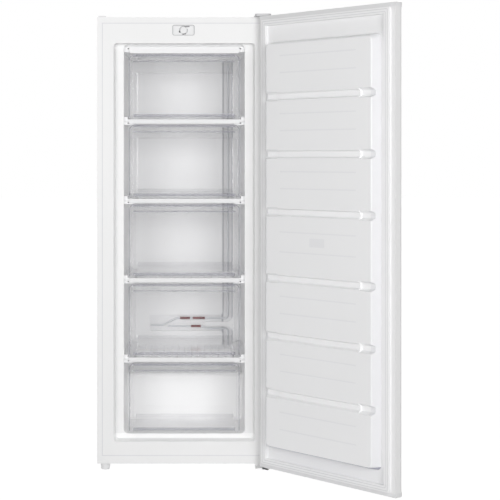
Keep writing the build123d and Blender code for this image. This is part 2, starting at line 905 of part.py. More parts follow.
def panel_heights():
    """Bottom and top of each flat panel between the grooves."""
    lows = [plug_bottom + plug_draft] + [z + groove_mouth / 2 for z in groove_centres]
    highs = [z - groove_mouth / 2 for z in groove_centres] + [plug_top - plug_draft]
    return list(zip(lows, highs))


def door_liner():
    """One vacuum-formed sheet: flat edge, raised panel, cross grooves and shallow lines."""
    edge_low = door_bottom + cap_height
    edge_high = door_top - cap_height
    flat = block(-seal_half, seal_half, door_inner_y - door_liner_wall, door_inner_y, edge_low, edge_high)
    form = flat + plug_outside()
    form -= plug_inside()
    crest_y = door_inner_y + plug_height
    for low, high in panel_heights():
        for share in line_shares:
            z = high - share * (high - low)
            form -= block(-line_half, line_half, crest_y - line_depth, crest_y + over,
                          z - line_height / 2, z + line_height / 2)
    badge_top = groove_centres[3] - groove_mouth / 2 - badge_drop
    form -= block(badge_x - badge_width / 2, badge_x + badge_width / 2, crest_y - badge_depth,
                  crest_y + over, badge_top - badge_height, badge_top)
    return form


def door_skin():
    """One sheet folded round the front and both sides, with a return along the inner face."""
    low = door_bottom + cap_height
    high = door_top - cap_height
    inside_outline = offset(door_outline(0), -sheet)
    inside = Pos(0, 0, low - over) * extrude(inside_outline, amount=high - low + 2 * over)
    opening = block(-seal_half, seal_half, door_inner_y - 2 * door_liner_wall, door_inner_y + over,
                    low - over, high + over)
    return door_slab(0, low, high) - inside - opening


def grip_pocket(grow, top):
    """The finger pocket in the upper end cap, grown by grow."""
    near = door_outer_y + grip_pocket_front
    return block(grip_pocket_left - grow, grip_pocket_right + grow, near - grow,
                 near + grip_pocket_width + grow, door_top - grip_pocket_depth - grow, top)


def bush_place(upper, z0, z1, diameter):
    """An upright round form on the hinge line, measured from the door's upper or lower end."""
    if upper:
        return upright(pivot_x, pivot_y, door_top - z1, door_top - z0, diameter)
    return upright(pivot_x, pivot_y, door_bottom + z0, door_bottom + z1, diameter)


bush_length = hinge_pin_depth + bush_end


def door_cap(upper):
    """Moulded end cap, a shallow tray that closes one end of the door."""
    low = door_top - cap_height if upper else door_bottom
    high = low + cap_height
    inside_low = low - over if upper else low + cap_wall
    inside_high = high - cap_wall if upper else high + over
    inside_outline = offset(door_outline(cap_proud), -cap_wall)
    cap = door_slab(cap_proud, low, high)
    cap -= Pos(0, 0, inside_low) * extrude(inside_outline, amount=inside_high - inside_low)
    if upper:
        cap += grip_pocket(grip_pocket_wall, high)
        cap -= grip_pocket(0, high + over)
    return cap - bush_place(upper, -over, bush_length, bush_diameter)


def door_insulation():
    """Rigid foam inside the door."""
    low = door_bottom + cap_height
    high = door_top - cap_height
    middle = Pos(0, 0, low) * extrude(offset(door_outline(0), -sheet), amount=high - low)
    middle -= block(-half_width, half_width, door_inner_y - door_liner_wall, door_inner_y + over, low, high)
    end_outline = offset(door_outline(cap_proud), -cap_wall)
    lower = Pos(0, 0, door_bottom + cap_wall) * extrude(end_outline, amount=cap_height - cap_wall)
    upper = Pos(0, 0, high) * extrude(end_outline, amount=cap_height - cap_wall)
    foam = middle + lower + upper + plug_inside()
    foam -= grip_pocket(grip_pocket_wall, door_top)
    foam -= bush_place(True, -over, bush_length, bush_diameter)
    foam -= bush_place(False, -over, bush_length, bush_diameter)
    return foam


def ring(inset, width, y0, y1):
    """A rectangular frame on the door's inner face."""
    outer_half = seal_half - inset
    low = door_bottom + gasket_inset + inset
    high = door_top - gasket_inset - inset
    outer = block(-outer_half, outer_half, y0, y1, low, high)
    inner = block(-outer_half + width, outer_half - width, y0 - over, y1 + over, low + width, high - width)
    return outer - inner


def magnet_bars():
    """Four magnetic strips, one along each side of the gasket's head."""
    inset = (gasket_width - magnet_width) / 2
    y1 = door_inner_y + gasket_height - magnet_cover
    y0 = y1 - magnet_height
    outer = seal_half - inset
    low = door_bottom + gasket_inset + inset
    high = door_top - gasket_inset - inset
    end = magnet_width + magnet_gap
    side = block(outer - magnet_width, outer, y0, y1, low + end, high - end)
    bars = [side, mirrored(side)]
    bars.append(block(-outer, outer, y0, y1, low, low + magnet_width))
    bars.append(block(-outer, outer, y0, y1, high - magnet_width, high))
    return bars


def door_gasket():
    """Soft seal: a base in the door's edge, a bellows neck and a head that holds the magnets."""
    y0 = door_inner_y
    y1 = y0 + gasket_base
    y3 = y0 + gasket_height
    y2 = y3 - gasket_head
    neck_width = gasket_width - 2 * gasket_neck_inset
    seal = ring(0, gasket_width, y0, y1)
    seal += ring(gasket_neck_inset, neck_width, y1, y2)
    seal += ring(0, gasket_width, y2, y3)
    for bar in magnet_bars():
        seal -= bar
    return seal


def door_bush(upper):
    """Flangeless plastic bush with a blind bore for a hinge pin."""
    body = bush_place(upper, 0, bush_length, bush_diameter)
    return body - bush_place(upper, -over, hinge_pin_depth, hinge_pin + 2 * hinge_pin_play)


def swing_open(piece):
    """Turn a piece of the closed door about the hinge line to its open rest place."""
    hinge_line = Axis((pivot_x, pivot_y, 0), (0, 0, 1))
    return piece.rotate(hinge_line, door_rest_angle)


# ---------------------------------------------------------------------------- hinges
def hinge_blank(z0, z1, tail, inset=0.0):
    """Flat plate with a rounded nose round the pin, drawn in by inset."""
    plate = block(hinge_left + inset, hinge_right - inset, pivot_y - hinge_nose + inset,
                  front_y + tail - inset, z0, z1)
    corners = plate.edges().filter_by(Axis.Z).group_by(Axis.Y)[0]
    return fillet(corners, hinge_nose_corner - inset)


def upper_hinge_plate():
    """Flat steel plate on the cabinet top, reaching forward over the door."""
    plate = hinge_blank(cabinet_top, cabinet_top + hinge_plate, hinge_tail)
    plate -= upright(pivot_x, pivot_y, cabinet_top - over, cabinet_top + 2 * hinge_plate, hinge_pin)
    for x, y in hinge_screw_places():
        plate -= upright(x, y, cabinet_top - over, cabinet_top + 2 * hinge_plate, screw_shank)
    return plate


def lower_hinge_bracket():
    """Steel bracket under the cabinet that steps down and forward under the door."""
    low_top = door_bottom - hinge_door_gap
    low = low_top - lower_plate
    nose = hinge_blank(low, low_top, 0)
    drop = block(hinge_left, hinge_right, front_y - hinge_plate, front_y, low, cabinet_bottom)
    seat = block(hinge_left, hinge_right, front_y, front_y + hinge_tail, cabinet_bottom - hinge_plate,
                 cabinet_bottom)
    bracket = nose + drop + seat
    bracket -= upright(pivot_x, pivot_y, low - over, low_top + over, hinge_pin)
    bracket -= upright(foot_x, front_y + foot_y, low, cabinet_bottom + over,
                       foot_stud + 2 * foot_stud_play)
    for x, y in hinge_screw_places():
        bracket -= upright(x, y, low, cabinet_bottom + over, screw_shank)
    return bracket


def hinge_pins():
    """Upper and lower pins, each riveted in its plate, with a collar under the lower end of the door."""
    low_top = door_bottom - hinge_door_gap
    low = low_top - lower_plate
    upper_tip = door_top - hinge_pin_depth + hinge_pin_end_play
    upper_head = cabinet_top + hinge_plate
    upper = upright(pivot_x, pivot_y, upper_tip, upper_head, hinge_pin)
    upper += upright(pivot_x, pivot_y, upper_head, upper_head + hinge_pin_head_height, hinge_pin_head)
    lower_tip = door_bottom + hinge_pin_depth - hinge_pin_end_play
    lower = upright(pivot_x, pivot_y, low, lower_tip, hinge_pin)
    lower += upright(pivot_x, pivot_y, low - hinge_pin_head_height, low, hinge_pin_head)
    lower += upright(pivot_x, pivot_y, low_top, door_bottom - hinge_collar_gap, hinge_collar)
    return [upper, lower]


def hinge_screws():
    """Three screws down through the upper plate and three up through the lower bracket."""
    screws = []
    seat = cabinet_top + hinge_plate
    under = cabinet_bottom - hinge_plate
    for x, y in hinge_screw_places():
        shank = upright(x, y, cabinet_top - screw_length, seat, screw_shank)
        head = upright(x, y, seat, seat + screw_head_height, screw_head)
        head = chamfer(head.faces().sort_by(Axis.Z)[-1].edges(), screw_edge)
        screws.append(shank + head)
    for x, y in hinge_screw_places():
        shank = upright(x, y, under, under + screw_length, screw_shank)
        head = upright(x, y, under - screw_head_height, under, screw_head)
        head = chamfer(head.faces().sort_by(Axis.Z)[0].edges(), screw_edge)
        screws.append(shank + head)
    return screws


def upper_hinge_cover():
    """Shallow plastic cover over the upper hinge plate, its screws and pin head."""
    seat = cabinet_top + hinge_plate
    top = seat + hinge_cover_height
    blank = hinge_blank(seat, top, hinge_tail)
    outer = fillet(blank.faces().sort_by(Axis.Z)[-1].edges(), hinge_cover_wall)
    return outer - hinge_blank(seat - over, top - hinge_cover_wall, hinge_tail, hinge_cover_wall)


def hole_cap():
    """Flat plastic cap over the unused hinge holes at the other end of the top."""
    left = -half_width + hole_cap_inset
    near = front_y + hole_cap_front
    cap = block(left, left + hole_cap_width, near, near + hole_cap_length, cabinet_top,
                cabinet_top + hole_cap_height)
    return fillet(cap.faces().sort_by(Axis.Z)[-1].edges(), hole_cap_height / 2)


# ---------------------------------------------------------------------------- feet
def screw_foot(x, seat):
    """Tapered plastic foot moulded round a threaded stud."""
    height = seat - foot_play
    y = front_y + foot_y
    pad = Pos(x, y, height / 2) * Cone(foot_base_diameter / 2, foot_top_diameter / 2, height)
    pad = chamfer(pad.faces().sort_by(Axis.Z)[0].edges(), foot_edge)
    stud = upright(x, y, height, foot_stud_top, foot_stud)
    return pad + stud


def rear_feet():
    """Two fixed feet under the compressor plate."""
    y = back_y - rear_foot_inset
    feet = []
    for x in (-foot_x, foot_x):
        foot = upright(x, y, 0, cabinet_bottom, rear_foot_diameter)
        feet.append(chamfer(foot.faces().sort_by(Axis.Z)[0].edges(), rear_foot_edge))
    return feet


# ---------------------------------------------------------------------------- machine compartment
compressor_seat = cabinet_bottom + plate_thickness + grommet_height
compressor_centre_y = front_y + compressor_y


def grommet_places():
    """Middle of each compressor mounting point."""
    return [
        (compressor_x + i * grommet_spacing_x / 2, front_y + compressor_y + j * grommet_spacing_y / 2)
        for i in (-1, 1)
        for j in (-1, 1)
    ]


def compressor():
    """Sealed steel shell of two halves welded at a seam, on its foot plate."""
    radius = compressor_diameter / 2
    bottom = compressor_seat + foot_plate_thickness
    top = compressor_seat + compressor_height
    shell = upright(compressor_x, compressor_centre_y, bottom, top, compressor_diameter)
    shell = fillet(shell.faces().sort_by(Axis.Z)[-1].edges(), compressor_dome)
    seam_z = compressor_seat + compressor_seam_z
    seam = upright(compressor_x, compressor_centre_y, seam_z, seam_z + compressor_seam_height,
                   2 * (radius + compressor_seam))
    plate = block(compressor_x - foot_plate_length / 2, compressor_x + foot_plate_length / 2,
                  compressor_centre_y - foot_plate_width / 2, compressor_centre_y + foot_plate_width / 2,
                  compressor_seat, bottom)
    plate = fillet(plate.edges().filter_by(Axis.Z), foot_plate_corner)
    for x, y in grommet_places():
        plate -= upright(x, y, compressor_seat - over, bottom + over, compressor_bolt)
    return shell + seam + plate


def compressor_grommets():
    """Four rubber grommets between the plate and the compressor's feet."""
    low = cabinet_bottom + plate_thickness
    grommets = []
    for x, y in grommet_places():
        body = upright(x, y, low, compressor_seat, grommet_diameter)
        waist = upright(x, y, low + grommet_height / 3, low + 2 * grommet_height / 3,
                        grommet_diameter + over)
        body -= waist - upright(x, y, low, compressor_seat, grommet_diameter - 2 * grommet_groove)
        grommets.append(body - upright(x, y, low - over, compressor_seat + over, compressor_bolt))
    return grommets


def compressor_bolts():
    """Four bolts through the plate, the grommets and the compressor's feet."""
    low = cabinet_bottom
    top = compressor_seat + foot_plate_thickness
    bolts = []
    for x, y in grommet_places():
        shank = upright(x, y, low, top, compressor_bolt)
        head = Pos(x, y, top) * extrude(
            RegularPolygon(compressor_bolt_head / 2, 6), amount=compressor_bolt_head_height)
        bolts.append(shank + head)
    return bolts


def relay_box():
    """Plastic box on the compressor's side that covers the starting relay, with the mains inlet gland."""
    right = compressor_x - compressor_diameter / 2 - compressor_seam + relay_overlap
    left = right - relay_depth
    y0 = compressor_centre_y - relay_width / 2
    y1 = compressor_centre_y + relay_width / 2
    z0 = relay_z
    z1 = relay_z + relay_height
    box = block(left, right + relay_depth / 2, y0, y1, z0, z1)
    box = fillet(box.edges().group_by(Axis.X)[0], relay_corner)
    box -= block(left + relay_wall, right + relay_depth, y0 + relay_wall, y1 - relay_wall,
                 z0 + relay_wall, z1 - relay_wall)
    box -= upright(compressor_x, compressor_centre_y, cabinet_bottom, machine_top,
                   compressor_diameter + 2 * compressor_seam)
    gland_x = left + relay_depth / 3
    gland_z = z0 + relay_height / 4
    gland = lying(gland_x, gland_z, y1 - relay_wall / 2, y1 + gland_length, gland_diameter)
    bore = lying(gland_x, gland_z, y1 - 2 * relay_wall, y1 + gland_length + over, gland_bore)
    return box + gland - bore


def compressor_room():
    """The compressor's round body, over the whole height of the compartment."""
    return upright(compressor_x, compressor_centre_y, cabinet_bottom, machine_top, compressor_diameter)


def suction_line():
    """Pipe from the compressor's side to the roof of the machine compartment."""
    out_x = suction_x + suction_reach
    front = front_y + machine_front + sheet + suction_reach
    path = [
        (suction_x, compressor_centre_y, suction_z),
        (out_x, compressor_centre_y, suction_z),
        (out_x, front, suction_z),
        (out_x, front, machine_top - sheet),
    ]
    return tube_along(path, pipe_radius, suction_pipe) - compressor_room()


def discharge_line():
    """Pipe from the compressor out at the back and up to the condenser's upper end."""
    start_x = compressor_x + discharge_x
    start_y = compressor_centre_y + compressor_diameter / 2 - discharge_inset
    path = [
        (start_x, start_y, discharge_z),
        (start_x, condenser_y, discharge_z),
        (feed_x, condenser_y, discharge_z),
        (feed_x, condenser_y, condenser_top),
        (feed_x - feed_corner, condenser_y, condenser_top),
    ]
    return tube_along(path, pipe_radius, pipe) - compressor_room()


def condenser_tube():
    """Long tube to and fro up the back of the cabinet, its lower end turned down to the drier."""
    run = 2 * condenser_half - condenser_pitch
    tube = Pos(0, condenser_y, condenser_bottom) * Rot(90, 0, 0) * serpentine(
        condenser_passes, run, condenser_pitch, pipe)
    down = tube_along([
        (-run / 2, condenser_y, condenser_bottom),
        (drier_x, condenser_y, condenser_bottom),
        (drier_x, condenser_y, drier_z + drier_length),
    ], pipe_radius, pipe)
    link = across(condenser_y, condenser_top, run / 2, feed_x - feed_corner, pipe)
    return tube + down + link


def condenser_wires():
    """Upright wires welded to both sides of the condenser tube."""
    low = condenser_bottom - condenser_wire_overhang
    high = condenser_top + condenser_wire_overhang
    away = (pipe + condenser_wire) / 2 + condenser_weld_gap
    span = 2 * condenser_half - condenser_pitch - 2 * condenser_wire_inset
    pitch = span / (condenser_wire_count - 1)
    wires = []
    for side in (-1, 1):
        for number in range(condenser_wire_count):
            x = -span / 2 + number * pitch
            wires.append(upright(x, condenser_y + side * away, low, high, condenser_wire))
    return wires


def filter_drier():
    """Copper cylinder with necked ends between the condenser and the capillary."""
    radius = drier_diameter / 2
    body = Pos(drier_x, condenser_y, drier_z + drier_length / 2) * Cylinder(radius, drier_length)
    return fillet(body.edges(), radius - pipe / 2 - drier_neck)


def capillary_tube():
    """Thin tube from the drier forward into the machine compartment and up its wall."""
    run_y = front_y + machine_front + sheet + capillary_stand_off
    path = [
        (drier_x, condenser_y, drier_z),
        (drier_x, condenser_y, capillary_z),
        (drier_x, run_y, capillary_z),
        (capillary_x, run_y, capillary_z),
        (capillary_x, run_y, machine_top - sheet),
    ]
    return tube_along(path, capillary_radius, capillary)


def condenser_brackets():
    """Four folded brackets on the back, with tongues behind two passes of the condenser."""
    tongue_y = condenser_y + pipe / 2
    brackets = []
    for middle in (condenser_bottom + condenser_pitch, condenser_top - condenser_pitch):
        low = middle - bracket_height / 2
        high = middle + bracket_height / 2
        foot = block(bracket_web_x, bracket_web_x + bracket_foot, back_y, back_y + sheet, low, high)
        web = block(bracket_web_x, bracket_web_x + sheet, back_y, tongue_y + sheet, low, high)
        tongue = block(bracket_tongue_x, bracket_web_x + sheet, tongue_y, tongue_y + sheet, low, high)
        bracket = foot + web + tongue
        brackets += [bracket, mirrored(bracket)]
    return brackets


# ---------------------------------------------------------------------------- write the pieces
def group(pieces):
    """Separate solids that share one node."""
    return Compound([piece.solid() for piece in pieces])


def build_pieces():
    """Every piece by its node name."""
    pieces = {
        "right_side_panel": side_panel(),
        "left_side_panel": mirrored(side_panel()),
        "top_panel": top_panel(),
        "back_panel": back_panel(),
        "base_rail": base_rail(),
        "bottom_panel": bottom_panel(),
        "machine_wall": machine_wall(),
        "compressor_plate": compressor_plate(),
        "cabinet_liner": cabinet_liner(),
        "cabinet_insulation": cabinet_insulation(),
        "thermostat_tub": thermostat_tub(),
        "thermostat_switch": thermostat_switch(),
        "thermostat_knob": thermostat_knob(),
        "shelf_rails": shelf_rails(),
        "outlet_pipe": tube_along(outlet_route(), pipe_bend, outlet_pipe),
        "inlet_pipe": tube_along(inlet_route(), pipe_bend, inlet_pipe),
        "upper_hinge_plate": upper_hinge_plate(),
        "upper_hinge_cover": upper_hinge_cover(),
        "lower_hinge_bracket": lower_hinge_bracket(),
        "hinge_pins": group(hinge_pins()),
        "hinge_screws": group(hinge_screws()),
        "hinge_hole_cap": hole_cap(),
        "left_foot": screw_foot(-foot_x, cabinet_bottom),
        "right_foot": screw_foot(foot_x, cabinet_bottom - hinge_plate),
        "rear_feet": group(rear_feet()),
        "compressor": compressor(),
        "compressor_grommets": group(compressor_grommets()),
        "compressor_bolts": group(compressor_bolts()),
        "relay_box": relay_box(),
        "suction_line": suction_line(),
        "discharge_line": discharge_line(),
        "condenser_tube": condenser_tube(),
        "condenser_wires": group(condenser_wires()),
        "condenser_brackets": group(condenser_brackets()),
        "filter_drier": filter_drier(),
        "capillary_tube": capillary_tube(),
    }
    outlet_y = pipe_plane_y(outlet_pipe)
    inlet_y = pipe_plane_y(inlet_pipe)
    pieces["pipe_sleeves"] = group([
        sleeve(outlet_y, outlet_height, outlet_sleeve_x, outlet_sleeve_length, outlet_pipe),
        sleeve(outlet_y, outlet_height, outlet_joint_x, outlet_joint_length, outlet_pipe),
        sleeve(inlet_y, inlet_height, inlet_sleeve_x, inlet_sleeve_length, inlet_pipe),
    ])
    evaporator = evaporator_shelf_form()
    for number, top in enumerate(reversed(shelf_tops), start=1):
        height = top_trim_height if top == top_shelf else trim_height
        corner = top_trim_corner if top == top_shelf else trim_corner
        pieces[f"shelf_trim_{number}"] = shelf_trim(top, height, corner)
        pieces[f"evaporator_shelf_{number}"] = place_evaporator(evaporator, top)
    for number, (support, ceiling, back) in enumerate(drawer_places(), start=1):
        pieces[f"drawer_{number}"] = drawer(support, ceiling, back)
    door = {
        "door_skin": door_skin(),
        "door_liner": door_liner(),
        "door_insulation": door_insulation(),
        "door_gasket": door_gasket(),
        "gasket_magnets": group(magnet_bars()),
        "door_top_cap": door_cap(True),
        "door_bottom_cap": door_cap(False),
        "door_bushes": group([door_bush(True), door_bush(False)]),
    }
    for name, piece in door.items():
        pieces[name] = swing_open(piece)
    return pieces


os.makedirs("parts", exist_ok=True)
for node, piece in build_pieces().items():
    export_step(piece, f"parts/{node}.step")
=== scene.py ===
import math

import bpy
from mathutils import Matrix, Vector


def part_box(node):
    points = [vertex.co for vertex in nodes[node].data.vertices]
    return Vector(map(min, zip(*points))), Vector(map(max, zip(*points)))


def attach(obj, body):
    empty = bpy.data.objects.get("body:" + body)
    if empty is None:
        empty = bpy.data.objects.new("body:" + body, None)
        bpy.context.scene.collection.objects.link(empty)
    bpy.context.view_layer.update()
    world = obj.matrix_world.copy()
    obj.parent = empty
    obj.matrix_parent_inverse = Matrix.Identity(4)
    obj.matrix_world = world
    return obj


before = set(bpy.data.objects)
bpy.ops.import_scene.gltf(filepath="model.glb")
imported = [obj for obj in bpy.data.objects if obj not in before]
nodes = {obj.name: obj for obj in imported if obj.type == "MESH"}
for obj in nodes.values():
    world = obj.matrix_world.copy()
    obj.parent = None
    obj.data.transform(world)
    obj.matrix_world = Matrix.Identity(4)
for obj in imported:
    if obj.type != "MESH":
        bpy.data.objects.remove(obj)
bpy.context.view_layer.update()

# ---------------------------------------------------------------- camera
# The freezer is seen from the front with a long lens, held level a little below the middle of the
# door. The picture is cut off centre, so the lens is shifted.
picture = 500
focal_pixels = 1390.0
film_width = 36.0
eye_distance = 4.38
eye_x = 0.0243
eye_height = 0.982
vanishing_x = 192.0
horizon_y = 159.0
level_gaze = math.radians(90)
cabinet_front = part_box("left_side_panel")[0][1]

camera_data = bpy.data.cameras.new("camera")
camera_data.sensor_width = film_width
camera_data.lens = focal_pixels / picture * film_width
camera_data.shift_x = (picture / 2 - vanishing_x) / picture
camera_data.shift_y = (horizon_y - picture / 2) / picture
camera = bpy.data.objects.new("camera", camera_data)
camera.location = (eye_x, cabinet_front - eye_distance, eye_height)
camera.rotation_euler = (level_gaze, 0, 0)
bpy.context.collection.objects.link(camera)
bpy.context.scene.camera = camera
bpy.context.scene.view_settings.view_transform = "Standard"


# ---------------------------------------------------------------- studio
# A seamless white floor in an evenly lit white room. Two large soft lamps stand at both sides of the
# camera and light the inside of the cabinet, the right one more strongly.
class Value:
    """One output of a shader node. Python's operators on it add Math nodes."""

    def __init__(self, tree, socket):
        self.tree = tree
        self.socket = socket

    def node(self, kind, settings=None, sockets=None, output=0):
        """Adds a node: its settings first, then the numbers, colours or Values of its sockets."""
        made = self.tree.nodes.new(kind)
        for name, setting in (settings or {}).items():
            setattr(made, name, setting)
        for name, value in (sockets or {}).items():
            feed(self.tree, made.inputs[name], value)
        return Value(self.tree, made.outputs[output])

    def math(self, operation, first, second):
        return self.node("ShaderNodeMath", {"operation": operation}, {0: first, 1: second})

    def __add__(self, other):
        return self.math("ADD", self, other)

    def __radd__(self, other):
        return self.math("ADD", other, self)

    def __sub__(self, other):
        return self.math("SUBTRACT", self, other)

    def __rsub__(self, other):
        return self.math("SUBTRACT", other, self)

    def __mul__(self, other):
        return self.math("MULTIPLY", self, other)

    def __rmul__(self, other):
        return self.math("MULTIPLY", other, self)

    def noise(self, size, detail=2.0):
        """Soft noise from 0 to 1, whose blotches are about size metres across."""
        return self.node("ShaderNodeTexNoise", {}, {"Vector": self, "Scale": 1 / size, "Detail": detail})

    def blend(self, low, high):
        """A colour between two colours, by this value."""
        return self.node("ShaderNodeMix", {"data_type": "RGBA"}, {0: self, 6: low, 7: high}, output=2)

    def axis(self, letter):
        """One coordinate of a place."""
        return self.node("ShaderNodeSeparateXYZ", {}, {"Vector": self}, output=letter)

    def between(self, low, high):
        """1 where this value lies between two numbers, and 0 elsewhere."""
        return self.math("GREATER_THAN", self, low) * self.math("LESS_THAN", self, high)

    def bump(self, height, strength):
        """A normal from this value as a relief of the given height in metres."""
        return self.node("ShaderNodeBump", {}, {"Height": self, "Distance": height, "Strength": strength})


def feed(tree, socket, value):
    """Gives a socket a link from a Value, or a number or colour of its own."""
    if isinstance(value, Value):
        tree.links.new(value.socket, socket)
    elif socket.type == "RGBA" and len(value) == 3:
        socket.default_value = (*value, 1)
    else:
        socket.default_value = value


def start_material(name):
    """A new material: itself, a call that sets its shader's inputs, and the place on the piece."""
    material = bpy.data.materials.new(name)
    material.use_nodes = True
    tree = material.node_tree
    place = Value(tree, tree.nodes.new("ShaderNodeTexCoord").outputs["Object"])
    shader = tree.nodes["Principled BSDF"]

    def set_inputs(**values):
        for key, value in values.items():
            feed(tree, shader.inputs[key.replace("_", " ")], value)

    return material, set_inputs, place


def studio_rays(tree):
    """1 for the rays that see the studio itself: from the camera, from a mirror or through glass."""
    rays = tree.nodes.new("ShaderNodeLightPath")
    seen = Value(tree, rays.outputs["Is Camera Ray"])
    mirrored = Value(tree, rays.outputs["Is Glossy Ray"])
    through = Value(tree, rays.outputs["Is Transmission Ray"])
    return seen + mirrored + through


reach = 30.0
floor_blotch = 0.8
white_share = 0.8
white_glow = 1.2
floor_mesh = bpy.data.meshes.new("studio_floor")
floor_mesh.from_pydata(
    [(-reach, -reach, 0), (reach, -reach, 0), (reach, reach, 0), (-reach, reach, 0)], [], [(0, 1, 2, 3)])
floor = bpy.data.objects.new("studio_floor", floor_mesh)
bpy.context.collection.objects.link(floor)
floor_material, set_floor, on_floor = start_material("studio_floor")
set_floor(
    Base_Color=on_floor.noise(floor_blotch).blend((0.86, 0.86, 0.86), (0.88, 0.88, 0.88)),
    Roughness=0.7,
)
floor_tree = floor_material.node_tree
shaded = Value(floor_tree, floor_tree.nodes["Principled BSDF"].outputs[0])
glow = on_floor.node("ShaderNodeEmission", {}, {"Color": (1, 1, 1), "Strength": white_glow})
white_part = studio_rays(floor_tree) * white_share
mixed = on_floor.node("ShaderNodeMixShader", {}, {0: white_part, 1: shaded, 2: glow})
floor_tree.links.new(mixed.socket, floor_tree.nodes["Material Output"].inputs["Surface"])
floor_mesh.materials.append(floor_material)

room_light = 0.24
world = bpy.data.worlds.new("studio")
world.use_nodes = True
bpy.context.scene.world = world
room_tree = world.node_tree
room = room_tree.nodes["Background"]
feed(room_tree, room.inputs["Strength"], room_light + studio_rays(room_tree) * (1 - room_light))
feed(room_tree, room.inputs["Color"], (1, 1, 1))


def hang_lamp(name, place, aim, width, power):
    """A square soft lamp turned towards a point."""
    lamp_data = bpy.data.lights.new(name, "AREA")
    lamp_data.shape = "SQUARE"
    lamp_data.size = width
    lamp_data.energy = power
    lamp = bpy.data.objects.new(name, lamp_data)
    lamp.location = place
    lamp.rotation_euler = (Vector(aim) - Vector(place)).to_track_quat("-Z", "Y").to_euler()
    bpy.context.collection.objects.link(lamp)


lamp_side = 1.9
lamp_y = -5.5
lamp_height = 1.6
lamp_width = 2.0
lit_point = (0, -0.3, 0.75)
right_power = 104
left_power = 90
hang_lamp("right_lamp", (lamp_side, lamp_y, lamp_height), lit_point, lamp_width, right_power)
hang_lamp("left_lamp", (-lamp_side, lamp_y, lamp_height), lit_point, lamp_width, left_power)
# The clear drawers put many see-through walls in a ray's way, and light goes round often in the white
# inside of the cabinet.
bpy.context.scene.cycles.transparent_max_bounces = 48
bpy.context.scene.cycles.diffuse_bounces = 10


# ---------------------------------------------------------------- outer panels
# The two sides, the top and the base rail are folded steel sheet, coated white before folding. The
# coat is glossy and has a faint orange-peel relief.
def finish(name, dark, light, blotch, roughness, uneven=0, patch=0, grain=0, relief=0, strength=0,
           detail=2.0, **constants):
    """A material that drifts between two shades in soft blotches, with a fine grain in relief.

    Its roughness rises from the given value by uneven, in patches. The blotches, the patches, the
    grain and its relief are in metres.
    """
    material, set_inputs, place = start_material(name)
    set_inputs(
        Base_Color=place.noise(blotch).blend(dark, light),
        Roughness=place.noise(patch) * uneven + roughness if uneven else roughness,
        **constants,
    )
    if grain:
        set_inputs(Normal=place.noise(grain, detail).bump(relief, strength))
    return material


def dress(material, *names):
    """Puts a material on CAD pieces."""
    for name in names:
        for slot in nodes[name].material_slots:
            slot.material = material


coat = finish(
    "coated_steel", (0.84, 0.84, 0.84), (0.86, 0.86, 0.86), blotch=0.22, roughness=0.30, uneven=0.08,
    patch=0.05, grain=0.0022, relief=0.00006, strength=0.35, detail=1.0, Coat_Weight=0.25,
    Coat_Roughness=0.12)
dress(coat, "left_side_panel", "right_side_panel", "top_panel", "base_rail")


# ---------------------------------------------------------------- seams of the front
# The liner's flange lies between the folded edges of the side panels, the top and the base rail. The
# joints show as fine grey lines, where a dark sealant fills the gap.
def strip(name, path, width, front, back, material, closed=False, body="cabinet", swing=None):
    """A flat strip along a path of (x, z) points, between two depths, that rides on a body."""
    least_mitre = 0.3
    count = len(path)
    points = [Vector(point) for point in path]
    corners = []
    for index, point in enumerate(points):
        before = points[index - 1] if index or closed else point
        after = points[(index + 1) % count] if closed or index < count - 1 else point
        into = (point - before).normalized() if point != before else (after - point).normalized()
        onward = (after - point).normalized() if after != point else into
        along = (into + onward).normalized()
        across = Vector((-along.y, along.x)) * (width / 2 / max(least_mitre, along.dot(into)))
        for side in (point - across, point + across):
            corners += [(side.x, front, side.y), (side.x, back, side.y)]
    faces = []
    for index in range(count if closed else count - 1):
        a = 4 * index
        b = 4 * ((index + 1) % count)
        faces += [(a, b, b + 2, a + 2), (a + 1, a + 3, b + 3, b + 1), (a, a + 1, b + 1, b),
                  (a + 2, b + 2, b + 3, a + 3)]
    if not closed:
        last = 4 * (count - 1)
        faces += [(0, 2, 3, 1), (last, last + 1, last + 3, last + 2)]
    if swing:
        corners = [swing @ Vector(corner) for corner in corners]
    mesh = bpy.data.meshes.new(name)
    mesh.from_pydata(corners, [], faces)
    mesh.materials.append(material)
    piece = bpy.data.objects.new(name, mesh)
    bpy.context.collection.objects.link(piece)
    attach(piece, body)


sealant = finish("grey_sealant", (0.66, 0.66, 0.68), (0.74, 0.74, 0.76), blotch=0.05, roughness=0.6,
                 grain=0.001, relief=0.00005, strength=0.4)
seam_half = 0.258
seam_low = 0.048
seam_high = 1.410
seam_width = 0.0022
film = 0.0001
strip("flange_seams",
      [(-seam_half, seam_low), (-seam_half, seam_high), (seam_half, seam_high), (seam_half, seam_low)],
      seam_width, cabinet_front - film, cabinet_front, sealant, closed=True)


# ---------------------------------------------------------------- marks of the thermostat
# The tub's rim and the dial round the knob are printed in grey: an arc that grows from a dot and a bar
# at its end, plain marks without figures. A dark mark below the knob is a painted shadow.
def rounded(left, right, low, high, radius, steps=5):
    """Points round a rectangle with rounded corners."""
    centres = ((right - radius, high - radius, 0), (left + radius, high - radius, 90),
               (left + radius, low + radius, 180), (right - radius, low + radius, 270))
    return [
        (x + radius * math.cos(math.radians(start + 90 * step / steps)),
         z + radius * math.sin(math.radians(start + 90 * step / steps)))
        for x, z, start in centres
        for step in range(steps + 1)
    ]


def arc(x, z, radius, start, end, steps=16):
    """Points along an arc, between two angles in degrees."""
    turns = [math.radians(start + (end - start) * step / steps) for step in range(steps + 1)]
    return [(x + radius * math.cos(turn), z + radius * math.sin(turn)) for turn in turns]


